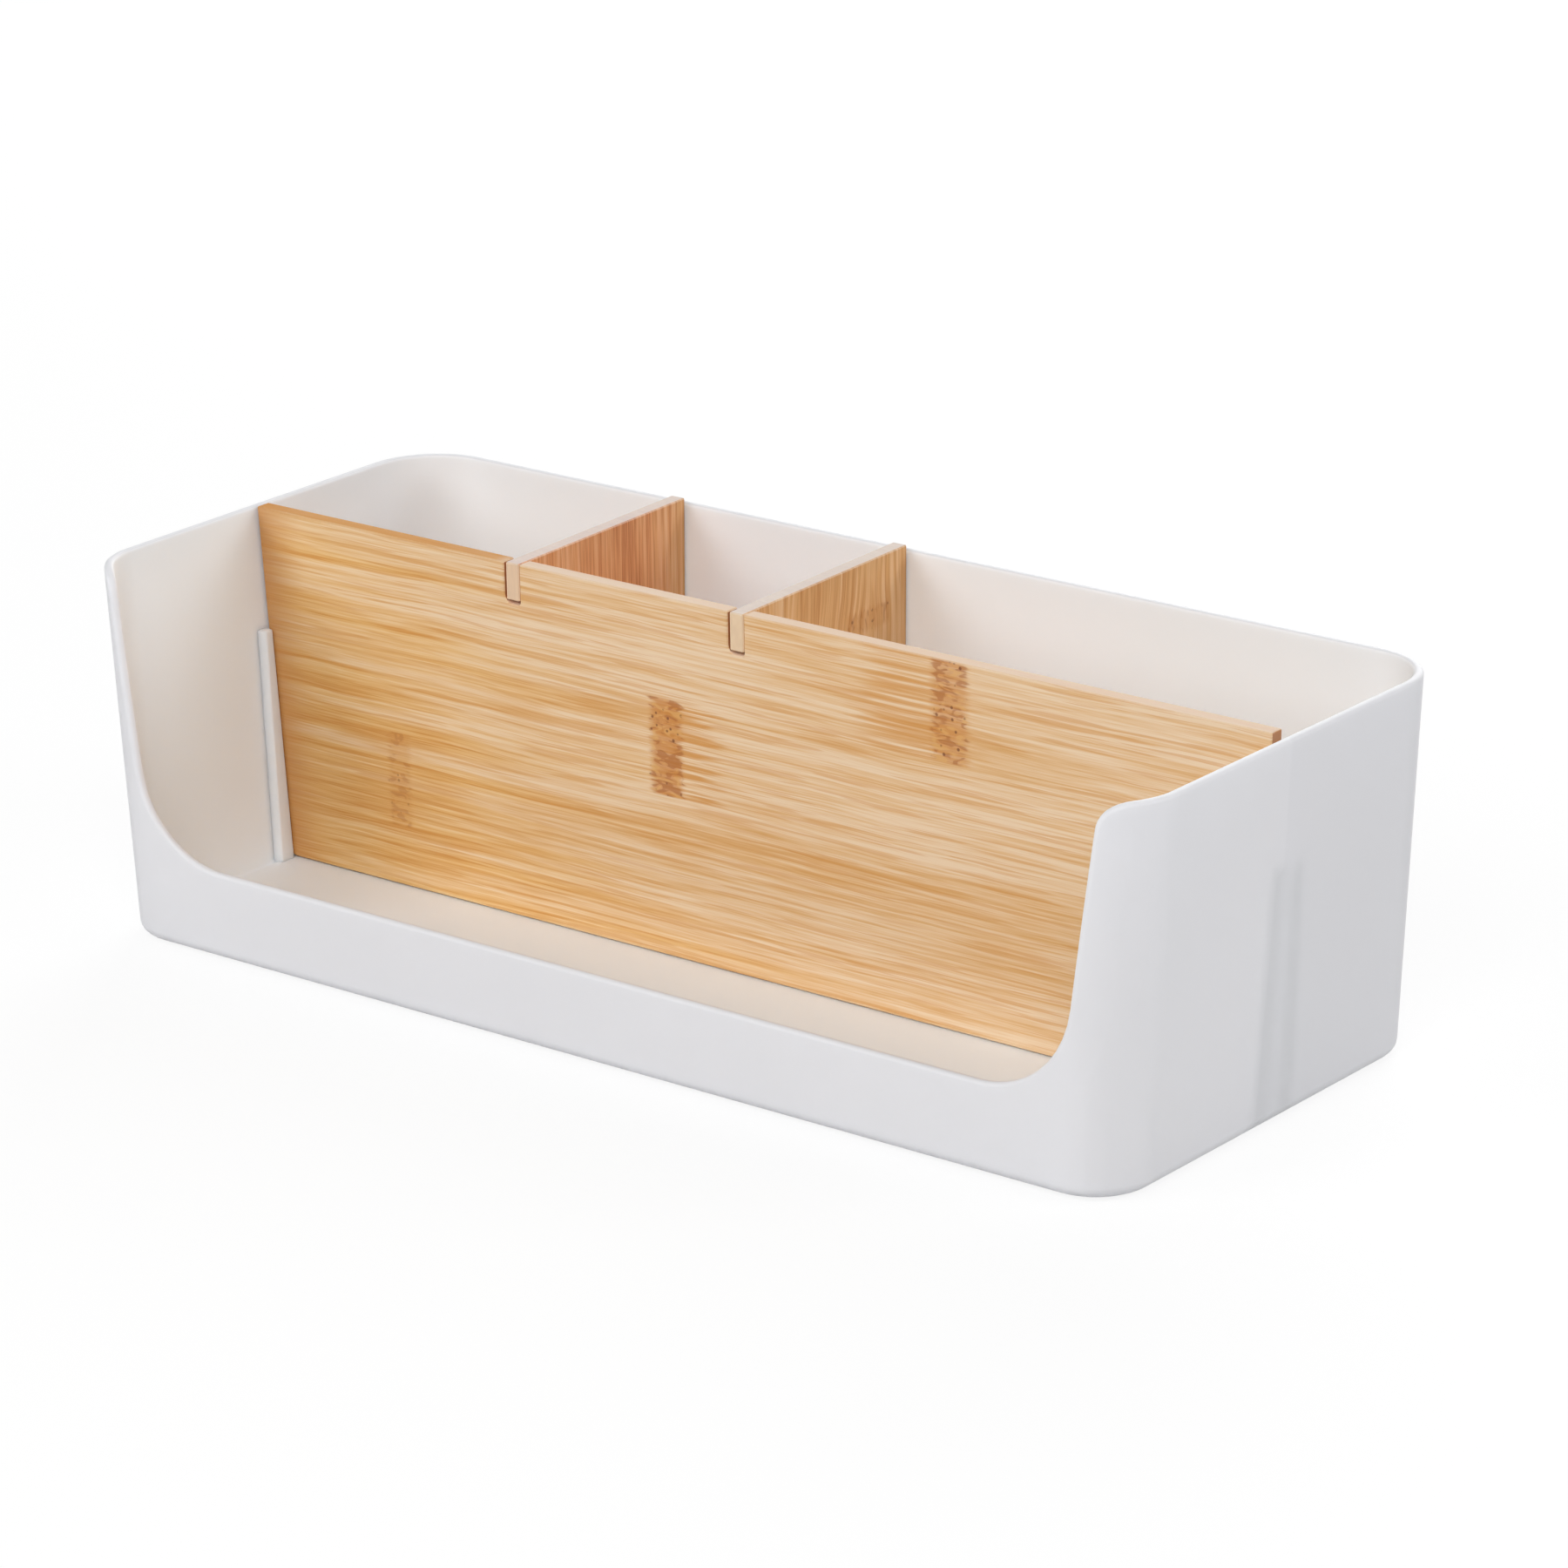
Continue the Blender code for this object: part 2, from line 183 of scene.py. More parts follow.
class BambooSettings(PropertyGroup):
    # The amber family shows on the long board's lower left: partly the board's own colour, partly
    # painted shade where the left wall shades the board.
    amber_pale: colour_property(
        "Amber, light", "Long board's left, between the fibres", (0.83, 0.565, 0.28))
    amber_middle: colour_property(
        "Amber", "Long board's left, ground tone", (0.755, 0.435, 0.15))
    amber_deep: colour_property(
        "Amber, deep", "Long board's left, streaks", (0.64, 0.285, 0.065))
    beige_pale: colour_property(
        "Beige, light", "Long board's right, between the fibres", (0.85, 0.645, 0.44))
    beige_middle: colour_property(
        "Beige", "Long board's right, ground tone", (0.785, 0.525, 0.29))
    beige_deep: colour_property(
        "Beige, deep", "Long board's right, streaks", (0.70, 0.39, 0.15))
    red_pale: colour_property(
        "Red brown, light", "Left short board, between the fibres", (0.91, 0.51, 0.27))
    red_middle: colour_property(
        "Red brown", "Left short board, ground tone", (0.80, 0.37, 0.155))
    red_deep: colour_property(
        "Red brown, deep", "Left short board, streaks", (0.56, 0.19, 0.065))
    tan_pale: colour_property(
        "Tan, light", "Right short board, between the fibres", (0.87, 0.56, 0.30))
    tan_middle: colour_property(
        "Tan", "Right short board and the left one's rear, ground tone", (0.77, 0.43, 0.175))
    tan_deep: colour_property(
        "Tan, deep", "Right short board, streaks", (0.60, 0.27, 0.085))
    # Brown towards the boards' ends that stand against a wall.
    wall_end_brown: colour_property(
        "Toasted edge", "Orange brown along one cut edge", (0.55, 0.24, 0.075))
    joint: colour_property("Joint", "Ground of a knuckle", (0.58, 0.225, 0.045))
    knuckle: colour_property("Knuckle", "Curled fibres of a knuckle", (0.38, 0.12, 0.03))
    scorch: colour_property("Scorch", "Pores of a knuckle", (0.20, 0.065, 0.025))
    end_grain: colour_property("End grain", "Cut ends of the long board", (0.42, 0.17, 0.07))
    tab_face: colour_property("Tab face", "Cut faces of the short boards", (0.80, 0.64, 0.46))
    # Colours that the boards' faces pointing up turn to.
    long_top_colour: colour_property("Sanded edge", "Long board's pale top edge", (0.86, 0.68, 0.54))
    short_top_colour: colour_property("Bleached edge", "Short boards' top edges", (0.81, 0.76, 0.73))


class PadSettings(PropertyGroup):
    colour: colour_property("Colour", "Grey of the anti-slip pads", (0.42, 0.42, 0.42))


class StageSettings(PropertyGroup):
    floor_colour: colour_property("Floor", "Colour of the floor", (0.72, 0.72, 0.72))
    front_left: power_property("Front left light", "Soft light in front on the left", 13.5)
    front_high: power_property("Front high light", "Soft light high in front on the right", 15.9)
    right_back: power_property("Right back light", "Soft light behind on the right", 10.2)
    back: power_property("Back light", "Soft light behind the back wall", 17.0)
    sky: FloatProperty(name="Room light", description="Strength of the even light all round",
                       default=0.07, min=0.0)
    azimuth: angle_property("Camera azimuth", "Round from the front to the right", 38.594)
    elevation: angle_property("Camera elevation", "Above the floor", 19.152)
    roll: angle_property("Camera roll", "Tilt of the picture", -1.037)


SETTINGS = (("storage_box_tray", TraySettings), ("storage_box_bamboo", BambooSettings),
            ("storage_box_pads", PadSettings), ("storage_box_stage", StageSettings))


def with_settings(item, **settings):
    """Gives a node or modifier its settings."""
    for name, value in settings.items():
        setattr(item, name, value)
    return item


# Node trees

def new_material(name):
    material = bpy.data.materials.new(name)
    material.use_nodes = True
    return material, material.node_tree, material.node_tree.nodes["Principled BSDF"]


def plug_in(tree, node, inputs):
    """Gives a node its inputs, each a value or a socket, by their names or numbers."""
    for name, value in inputs.items():
        if isinstance(value, bpy.types.NodeSocket):
            tree.links.new(value, node.inputs[name])
        else:
            node.inputs[name].default_value = value


def add_node(tree, kind, inputs=None, **settings):
    node = with_settings(tree.nodes.new("ShaderNode" + kind), **settings)
    plug_in(tree, node, inputs or {})
    return node


def calc(tree, operation, *values, clamp=False):
    inputs = dict(enumerate(values))
    return add_node(tree, "Math", inputs, operation=operation, use_clamp=clamp).outputs[0]


def blend_colour(tree, factor, first, second):
    """Two colours mixed, each a socket or its red, green and blue."""
    first, second = [colour if isinstance(colour, bpy.types.NodeSocket) else (*colour, 1.0)
                     for colour in (first, second)]
    return add_node(tree, "Mix", {0: factor, 6: first, 7: second}, data_type="RGBA").outputs[2]


def shade(colour, share):
    return tuple(channel * share for channel in colour)


def ramp(tree, value, stops):
    node = add_node(tree, "ValToRGB", {"Fac": value})
    elements = node.color_ramp.elements
    while len(elements) < len(stops):
        elements.new(0.5)
    for element, (place, colour) in zip(elements, stops):
        element.position = place
        element.color = (*colour, 1.0)
    return node.outputs["Color"]


def step_between(tree, value, start, end):
    """0 before start and 1 past end, with a smooth change between them. End may be lower."""
    return add_node(tree, "MapRange", {"Value": value, "From Min": start, "From Max": end},
                    interpolation_type="SMOOTHSTEP").outputs["Result"]


def spread_over(tree, pattern, low, high):
    """A pattern's 0 to 1 taken to low to high."""
    inputs = {"Value": pattern, "To Min": low, "To Max": high}
    return add_node(tree, "MapRange", inputs).outputs["Result"]


def swing(tree, pattern, width):
    """A pattern's 0 to 1 taken to both sides of zero, width apart."""
    return calc(tree, "MULTIPLY", calc(tree, "SUBTRACT", pattern, 0.5), width)


def relief(tree, height, strength=1.0):
    """The normal of a surface with a fine relief, its height given in millimetres."""
    inputs = {"Height": height, "Distance": MM, "Strength": strength}
    return add_node(tree, "Bump", inputs).outputs["Normal"]


def axes_of(tree, vector):
    return add_node(tree, "SeparateXYZ", {"Vector": vector}).outputs


def object_millimetres(tree, turn=(0.0, 0.0, 0.0)):
    """Object coordinates in millimetres, turned so that the grain runs along X."""
    coordinates = add_node(tree, "TexCoord").outputs["Object"]
    turned = add_node(tree, "Mapping", {"Vector": coordinates, "Rotation": turn,
                                        "Scale": (1 / MM, 1 / MM, 1 / MM)})
    return turned.outputs["Vector"]


def noise(tree, place, scale, detail=2.0, roughness=0.5, distortion=0.0):
    """Noise stretched by three scales, each in waves per millimetre."""
    stretched = add_node(tree, "Mapping", {"Vector": place, "Scale": scale})
    return add_node(tree, "TexNoise", {"Vector": stretched.outputs["Vector"], "Scale": 1.0,
                                       "Detail": detail, "Roughness": roughness,
                                       "Distortion": distortion}).outputs["Fac"]


def seen_directly(tree):
    """1 for what the camera sees directly, by reflection or through a clear piece."""
    path = add_node(tree, "LightPath").outputs
    seen = calc(tree, "MAXIMUM", path["Is Camera Ray"], path["Is Glossy Ray"])
    return calc(tree, "MAXIMUM", seen, path["Is Transmission Ray"])


# Materials

def painted_shade_from_inside(tree, axes):
    """Where an end wall's outside gets its painted shade from what stands inside it: from the
    front guide rib to the back (behind), and a second time from there to just past the rear one
    (banded)."""
    stand = calc(tree, "SUBTRACT", calc(tree, "ABSOLUTE", axes["X"]),
                 calc(tree, "MULTIPLY", axes["Z"], END_SLOPE))
    on_end = step_between(tree, stand, END_STAND - 1.6, END_STAND - 0.6)
    width = calc(tree, "SUBTRACT", RIBS_WIDTH, calc(tree, "MULTIPLY", axes["Z"], RIBS_SHRINK))
    ribs = calc(tree, "MULTIPLY", step_between(tree, axes["Z"], *RIBS_END), width)
    from_front = calc(tree, "ADD", axes["Y"], calc(tree, "ADD", ribs, BOARD_FRONT))
    from_back = calc(tree, "SUBTRACT", axes["Y"], calc(tree, "ADD", ribs, BOARD_BACK))
    behind = calc(tree, "MULTIPLY", step_between(tree, from_front, -0.8, 0.6), on_end)
    banded = calc(tree, "MULTIPLY", behind, step_between(tree, from_back, 2.0, -3.0))
    return behind, banded


def moulded_plastic(name, colour, is_outside):
    """Satin white plastic with a fine mould texture and slow changes of tone."""
    material, tree, shader = new_material(name)
    place = object_millimetres(tree)
    axes = axes_of(tree, place)
    cloud = noise(tree, place, (0.018, 0.018, 0.018), 3.0)
    tone = ramp(tree, cloud, ((0.3, shade(colour, 0.975)), (0.7, colour)))
    if is_outside:
        # Painted shade, where the board and ribs inside shade the end walls' thin plastic.
        for mask in painted_shade_from_inside(tree, axes):
            tone = blend_colour(tree, mask, tone, shade(colour, PAINTED_SHADE_SHARE))
    else:
        # Painted tint on the inner floor, against the warm light bounced onto it from the boards.
        floor_colour = [channel * share for channel, share in zip(colour, FLOOR_PAINTED_TINT)]
        on_floor = step_between(tree, axes["Z"], *FLOOR_LEVEL)
        tone = blend_colour(tree, on_floor, tone, floor_colour)
    grain = noise(tree, place, (3.2, 3.2, 3.2), 2.0, 0.6)
    wave = noise(tree, place, (0.03, 0.03, 0.03), 1.0)
    height = calc(tree, "ADD", calc(tree, "MULTIPLY", grain, 0.006),
                  calc(tree, "MULTIPLY", wave, 0.12))
    plug_in(tree, shader, {
        "Base Color": tone, "Roughness": spread_over(tree, grain, 0.50, 0.62),
        "Normal": relief(tree, height), "Specular IOR Level": 0.22, "Subsurface Weight": 0.5,
        "Subsurface Radius": (1.0, 1.0, 1.0), "Subsurface Scale": 4 * MM})
    return material


def knuckle_masks(tree, place, axes, knuckles):
    """Where the cane's joints are (core) and where the stained streaks beside them run (lead)."""

    def torn(scale, detail, width):
        """The place along the grain, made uneven by up to half the width, in mm."""
        return calc(tree, "ADD", axes["X"], swing(tree, noise(tree, place, scale, detail), width))

    def near(spot, middle, inner, outer):
        offset = calc(tree, "ABSOLUTE", calc(tree, "SUBTRACT", spot, middle))
        return step_between(tree, offset, outer, inner)

    at_joint = torn((0.0, 0.0, 0.9), 2.0, 6.0)
    at_lead = torn((0.05, 0.0, 0.8), 3.0, 26.0)
    core = 0.0
    lead = 0.0
    for middle, low, high, half_width, strength, reach in knuckles:
        above = step_between(tree, axes["Z"], low, low + STRIP_EDGE)
        past = step_between(tree, axes["Z"], high - STRIP_EDGE, high)
        strip = calc(tree, "MULTIPLY", above, calc(tree, "SUBTRACT", strength, past), clamp=True)
        joint = near(at_joint, middle, half_width * 0.6, half_width * 1.2)
        stain = near(at_lead, middle + reach / 2, abs(reach) * 0.3, abs(reach) * 0.8)
        core = calc(tree, "MAXIMUM", core, calc(tree, "MULTIPLY", joint, strip))
        lead = calc(tree, "MAXIMUM", lead, calc(tree, "MULTIPLY", stain, strip))
    return core, lead


def bamboo(name, settings, turn, wave, families, drift, knuckles, wall_end_brown, top_course, crest, cut):
    """Sanded bamboo with fibres, streaks, glued strips, knuckles and cut faces. The turn lays
    its grain along the pattern's X, and the grain weaves over a width of wave mm.

    A family is a deep, a middle and a pale tone. drift, wall_end_brown and top_course each hold a
    direction in the pattern and two places along it, in mm, between which the colour goes from
    the first family to the second, the end that stands against a wall browns, and the faces that
    point up turn from the deep tone to the crest colour. cut holds the axis that sawn faces point
    along, their colour, the parts of the normal between which a chamfer turns sawn, and how much
    of that colour shows."""
    material, tree, shader = new_material(name)
    place = object_millimetres(tree, turn)
    axes = axes_of(tree, place)
    deep, middle = families[0][:2]

    def along(course, ragged=0.0):
        direction, start, end = course
        distance = add_node(tree, "VectorMath", {0: place, 1: direction}, operation="DOT_PRODUCT")
        spot = calc(tree, "ADD", distance.outputs["Value"], ragged)
        return step_between(tree, spot, start, end)

    bend = swing(tree, noise(tree, place, (0.014, 0.05, 0.035), 2.0), wave)
    woven = {"X": axes["X"], "Y": axes["Y"], "Z": calc(tree, "ADD", axes["Z"], bend)}
    flow = add_node(tree, "CombineXYZ", woven).outputs["Vector"]
    fibres = noise(tree, flow, (0.05, 0.4, 2.5), 3.0, 0.6)
    streaks = noise(tree, flow, (0.018, 0.2, 0.95), 3.0, 0.62)
    cloud = noise(tree, flow, (0.011, 0.02, 0.045), 2.0)
    bands = noise(tree, flow, (0.009, 0.1, 0.2), 3.0)
    across = calc(tree, "SUBTRACT", axes["Z"], STRIP_START)
    strip = calc(tree, "FLOOR", calc(tree, "DIVIDE", across, STRIP_WIDTH))
    strip_tone = add_node(tree, "TexWhiteNoise", {"W": strip}, noise_dimensions="1D")
    tone = 0.0
    for pattern, share in ((fibres, 0.31), (streaks, 0.41), (cloud, 0.14), (bands, 0.18),
                           (strip_tone.outputs["Value"], 0.04)):
        tone = calc(tree, "ADD", tone, calc(tree, "MULTIPLY", pattern, share))
    softly = swing(tree, bands, 2.2 * (drift[2] - drift[1]))
    first, second = [ramp(tree, tone, ((0.43, deepest), (0.53, ground), (0.63, palest)))
                     for deepest, ground, palest in families]
    wood = blend_colour(tree, along(drift, softly), first, second)

    vessels = step_between(tree, noise(tree, flow, (0.03, 0.4, 1.3), 2.0), 0.55, 0.62)
    core, lead = knuckle_masks(tree, place, axes, knuckles)
    stain = calc(tree, "MULTIPLY", lead, step_between(tree, streaks, 0.60, 0.42))
    # Browner towards the end that stands against a wall, more so along the streaks.
    wall_end_browning = calc(tree, "MULTIPLY", along(wall_end_brown), calc(tree, "ADD", streaks, 0.32))
    marked = step_between(tree, core, 0.1, 0.6)
    curls = noise(tree, place, (0.24, 0.3, 0.62), 0.5, 0.5, 1.1)
    lit = calc(tree, "MULTIPLY", marked, step_between(tree, curls, 0.54, 0.66))
    curled = calc(tree, "MULTIPLY", marked, step_between(tree, curls, 0.47, 0.36))
    pores = add_node(tree, "TexVoronoi", {"Vector": place, "Scale": 0.42}).outputs["Distance"]
    pored = calc(tree, "MULTIPLY", marked, step_between(tree, pores, 0.22, 0.11))

    cut_axis, cut_colour, chamfer, cut_share = cut
    normal = axes_of(tree, add_node(tree, "TexCoord").outputs["Normal"])
    sawn = step_between(tree, calc(tree, "ABSOLUTE", normal[cut_axis]), *chamfer)
    # Faces that point up turn to the crest tone: the deep tone, then the crest colour past the
    # top course's places.
    upward = step_between(tree, normal["Z"], 0.6, 0.9)
    crest_tone = blend_colour(tree, along(top_course), deep, crest)
    for mask, share, colour in (
            (vessels, 0.42, deep), (stain, 0.8, deep), (wall_end_browning, 1.0, settings.wall_end_brown),
            (core, 0.75, settings.joint), (lit, 0.5, middle), (curled, 0.55, settings.knuckle),
            (pored, 0.85, settings.scorch), (sawn, cut_share, cut_colour),
            (upward, 0.78, crest_tone)):
        wood = blend_colour(tree, calc(tree, "MULTIPLY", mask, share), wood, colour)

    height = calc(tree, "ADD", calc(tree, "MULTIPLY", fibres, 0.05),
                  calc(tree, "MULTIPLY", curled, -0.08))
    rough = calc(tree, "ADD", spread_over(tree, fibres, 0.42, 0.60),
                 calc(tree, "MULTIPLY", upward, 0.35))
    plug_in(tree, shader, {"Base Color": wood, "Roughness": rough,
                           "Normal": relief(tree, height, 0.8), "Specular IOR Level": 0.3})
    return material


def pad_rubber(settings):
    """Matte grey rubber with a fine grain and a little dust."""
    material, tree, shader = new_material("pad_rubber")
    place = object_millimetres(tree)
    dust = noise(tree, place, (0.5, 0.5, 0.5), 3.0)
    grain = noise(tree, place, (4.0, 4.0, 4.0), 2.0)
    stops = ((0.35, shade(settings.colour, 0.8)), (0.7, settings.colour))
    plug_in(tree, shader, {"Base Color": ramp(tree, dust, stops),
                           "Roughness": spread_over(tree, grain, 0.72, 0.9),
                           "Normal": relief(tree, calc(tree, "MULTIPLY", grain, 0.02))})
    return material


def stage_floor(settings):
    """Pale floor that shows white in the picture and in reflections, and keeps its shadow."""
    material, tree, shader = new_material("stage_floor")
    tint = noise(tree, object_millimetres(tree), (0.004, 0.004, 0.004), 2.0)
    stops = ((0.3, shade(settings.floor_colour, 0.985)), (0.7, settings.floor_colour))
    plug_in(tree, shader, {"Base Color": ramp(tree, tint, stops), "Roughness": 0.9})
    glow = add_node(tree, "Emission", {"Color": WHITE, "Strength": 1.08})
    share = calc(tree, "MULTIPLY", seen_directly(tree), 0.80)
    mixed = add_node(tree, "MixShader", {0: share, 1: shader.outputs["BSDF"],
                                         2: glow.outputs["Emission"]})
    plug_in(tree, tree.nodes["Material Output"], {"Surface": mixed.outputs["Shader"]})
    return material


def dress(node, material):
    """Gives a CAD node its material."""
    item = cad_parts[node]
    for material_slot in item.material_slots:
        material_slot.material = material


# The tray's shape

def add_object(name, bm):
    mesh = bpy.data.meshes.new(name)
    bm.to_mesh(mesh)
    bm.free()
    item = bpy.data.objects.new(name, mesh)
    bpy.context.scene.collection.objects.link(item)
    return item


class TrayShape:
    """The tray's levels, its plan at any height and the outline of its front opening."""

    def __init__(self, settings):
        self.settings = settings
        self.base_z = TRAY_LOW.z
        self.rim_z = TRAY_HIGH.z
        self.lip_z = self.base_z + settings.lip_height
        run = (settings.opening_high - settings.opening_low) / 2
        self.side_angle = math.atan2(self.rim_z - self.lip_z, run)

    def half_size(self, z):
        drop = self.rim_z - z
        return Vector((TRAY_HIGH.x - drop * math.tan(self.settings.end_draft),
                       TRAY_HIGH.y - drop * math.tan(self.settings.face_draft)))

    def corner(self, z):
        """Middle and radius of an upright corner's arc at height z."""
        half = self.half_size(z)
        lean = (TRAY_HIGH.x - half.x + TRAY_HIGH.y - half.y) / 2
        radius = self.settings.corner_radius - lean
        return half - Vector((radius, radius)), radius

    def outer_place(self, along, z):
        """The outer wall at height z, along its plan outline from the middle of a long side."""
        middle, radius = self.corner(z)
        if along <= middle.x:
            return Vector((along, middle.y + radius, z))
        angle = min((along - middle.x) / radius, math.pi / 2)
        return Vector((middle.x + radius * math.sin(angle),
                       middle.y + radius * math.cos(angle), z))

    def along_at(self, x, z):
        """How far along the plan outline the outer wall reaches x."""
        middle, radius = self.corner(z)
        if x <= middle.x:
            return x
        return middle.x + radius * math.asin((x - middle.x) / radius)

    def corner_end(self, z):
        """How far along the plan outline the corner's arc ends."""
        middle, radius = self.corner(z)
        return middle.x + radius * math.pi / 2

    def fillet(self, share):
        """A point of the arc from the lip (0) to the opening's side (1), as X and Z."""
        s = self.settings
        angle = self.side_angle * share
        start = s.opening_low / 2 - s.opening_fillet * math.tan(self.side_angle / 2)
        return (start + s.opening_fillet * math.sin(angle),
                self.lip_z + s.opening_fillet * (1 - math.cos(angle)))

    def shoulder(self, share):
        """A point of the arc from the opening's side (0) to the rim (1), as X and Z."""
        s = self.settings
        angle = self.side_angle * (1 - share)
        end = s.opening_high / 2 + s.opening_shoulder * math.tan(self.side_angle / 2)
        return (end - s.opening_shoulder * math.sin(angle),
                self.rim_z - s.opening_shoulder * (1 - math.cos(angle)))

    def opening_side(self, steps):
        """The opening's side from the middle of its fillet to the middle of its shoulder."""
        points = [self.fillet(0.5 + 0.5 * step / steps) for step in range(steps + 1)]
        foot = points[-1]
        top = self.shoulder(0)
        points += [tuple(low + (high - low) * step / steps for low, high in zip(foot, top))
                   for step in range(1, steps)]
        return points + [self.shoulder(0.5 * step / steps) for step in range(steps + 1)]


def tray_sheet(shape):
    """The tray's outer skin without thickness, drawn up row by row from its base. Its columns
    lean with the opening's sides, so that the edge of the opening has even faces."""
    steps = shape.settings.corner_steps
    side = shape.opening_side(SIDE_STEPS)
    crest = [shape.shoulder(0.5 + 0.5 * step / SHOULDER_STEPS)
             for step in range(SHOULDER_STEPS + 1)]
    crest_along = [shape.along_at(x, z) for x, z in crest]
    start, end = crest_along[-1], shape.corner_end(shape.rim_z)
    plain = steps - SHOULDER_STEPS
    crest_along += [start + (end - start) * step / plain for step in range(1, plain + 1)]
    crest_z = [z for x, z in crest] + [shape.rim_z] * plain
    spread = [(along - crest_along[0]) / (end - crest_along[0]) for along in crest_along]

    def front_place(column, row):
        """Columns 0 to FILLET_STEPS run under the opening's fillet, the rest round the corner."""
        if row == 0:
            x, z = shape.fillet(0.5)[0], shape.base_z
        elif row == len(side):
            x, z = crest[0]
        else:
            x, z = side[row - 1]
        if column < FILLET_STEPS:
            x, top = shape.fillet(0.5 * column / FILLET_STEPS)
            return shape.outer_place(x, shape.base_z if row == 0 else top)
        turn = column - FILLET_STEPS
        if row == len(side):
            return shape.outer_place(crest_along[turn], crest_z[turn])
        begin = shape.along_at(x, z)
        return shape.outer_place(begin + (shape.corner_end(z) - begin) * spread[turn], z)

    def back_place(column, row):
        z = shape.base_z if row == 0 else shape.rim_z if row == len(side) else side[row - 1][1]
        corner, bend = shape.corner(z)
        return shape.outer_place(corner.x + bend * math.pi / 2 * column / steps, z)

    columns = [("front", column) for column in range(FILLET_STEPS + steps + 1)]
    columns += [("back", column) for column in range(steps, -1, -1)]
    count = 2 * len(columns)

    def place(index, row):
        """The skin's point in a column, counted right round from the middle of the front."""
        mirrored = index >= len(columns)
        kind, column = columns[count - 1 - index if mirrored else index]
        point = front_place(column, row) if kind == "front" else back_place(column, row)
        return Vector((-point.x if mirrored else point.x,
                       -point.y if kind == "front" else point.y, point.z))

    def reaches_rim(vert):
        """Whether the skin is drawn up from here, beside the opening and not below it."""
        return min(vert[layer], count - 1 - vert[layer]) >= FILLET_STEPS

    bm = bmesh.new()
    layer = bm.verts.layers.int.new("column")
    ring = bmesh.ops.create_circle(bm, cap_ends=True, segments=count, radius=1.0)["verts"]
    base = ring[0].link_faces[0]
    for index, corner in enumerate(base.loops):
        corner.vert[layer] = index
        corner.vert.co = place(index, 0)
    base_edges = list(base.edges)
    row_edges = base_edges
    for row in range(1, len(side) + 1):
        grown = bmesh.ops.extrude_edge_only(bm, edges=row_edges)["geom"]
        fresh = [item for item in grown if isinstance(item, bmesh.types.BMVert)]
        for vert in fresh:
            vert.co = place(vert[layer], row)
        row_edges = [item for item in grown if isinstance(item, bmesh.types.BMEdge)
                     and all(vert in fresh and reaches_rim(vert) for vert in item.verts)]
    bmesh.ops.bevel(bm, geom=base_edges, offset=shape.settings.base_edge, offset_type="OFFSET",
                    segments=5, profile=0.5, affect="EDGES", material=-1)
    bmesh.ops.recalc_face_normals(bm, faces=bm.faces)
    if min(bm.faces, key=lambda face: face.calc_center_median().z).normal.z > 0:
        bmesh.ops.reverse_faces(bm, faces=bm.faces)
    return add_object("tray_skin", bm)


def recess_cutter(shape):
    """A round hollow in the underside for each pad."""
    bm = bmesh.new()
    for name in PADS:
        low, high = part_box(name)
        middle = (low + high) / 2
        radius = (high.x - low.x) / 2 + RECESS_PLAY
        disc = bmesh.ops.create_cone(bm, cap_ends=True, segments=64, radius1=radius,
                                     radius2=radius, depth=CUTTER_HEIGHT)["verts"]
        z = shape.base_z + RECESS_DEPTH - CUTTER_HEIGHT / 2
        bmesh.ops.translate(bm, vec=(middle.x, middle.y, z), verts=disc)
    return add_object("pad_recesses", bm)


def thickened(skin, shape):
    """The skin with its wall's thickness, a rounded rim and the pads' recesses, as a bmesh."""
    s = shape.settings
    tool = recess_cutter(shape)
    with_settings(skin.modifiers.new("Wall", "SOLIDIFY"), thickness=s.wall, offset=-1.0,
                  material_offset=1, use_even_offset=True, use_quality_normals=True)
    with_settings(skin.modifiers.new("Rim", "BEVEL"), width=s.rim_edge, segments=4,
                  limit_method="ANGLE", angle_limit=math.radians(RIM_ANGLE),
                  use_clamp_overlap=False)
    with_settings(skin.modifiers.new("Recesses", "BOOLEAN"), operation="DIFFERENCE",
                  solver="EXACT", object=tool)
    graph = bpy.context.evaluated_depsgraph_get()
    bm = bmesh.new()
    bm.from_mesh(skin.evaluated_get(graph).to_mesh())
    for used in (skin, tool):
        mesh = used.data
        bpy.data.objects.remove(used, do_unlink=True)
        bpy.data.meshes.remove(mesh)
    # The flat of the inner floor rises from the wall's thickness to the floor's own.
    inner_floor = shape.base_z + s.wall
    for vert in bm.verts:
        if abs(vert.co.z - inner_floor) < 0.05 * MM:
            vert.co.z += s.floor - s.wall
    return bm


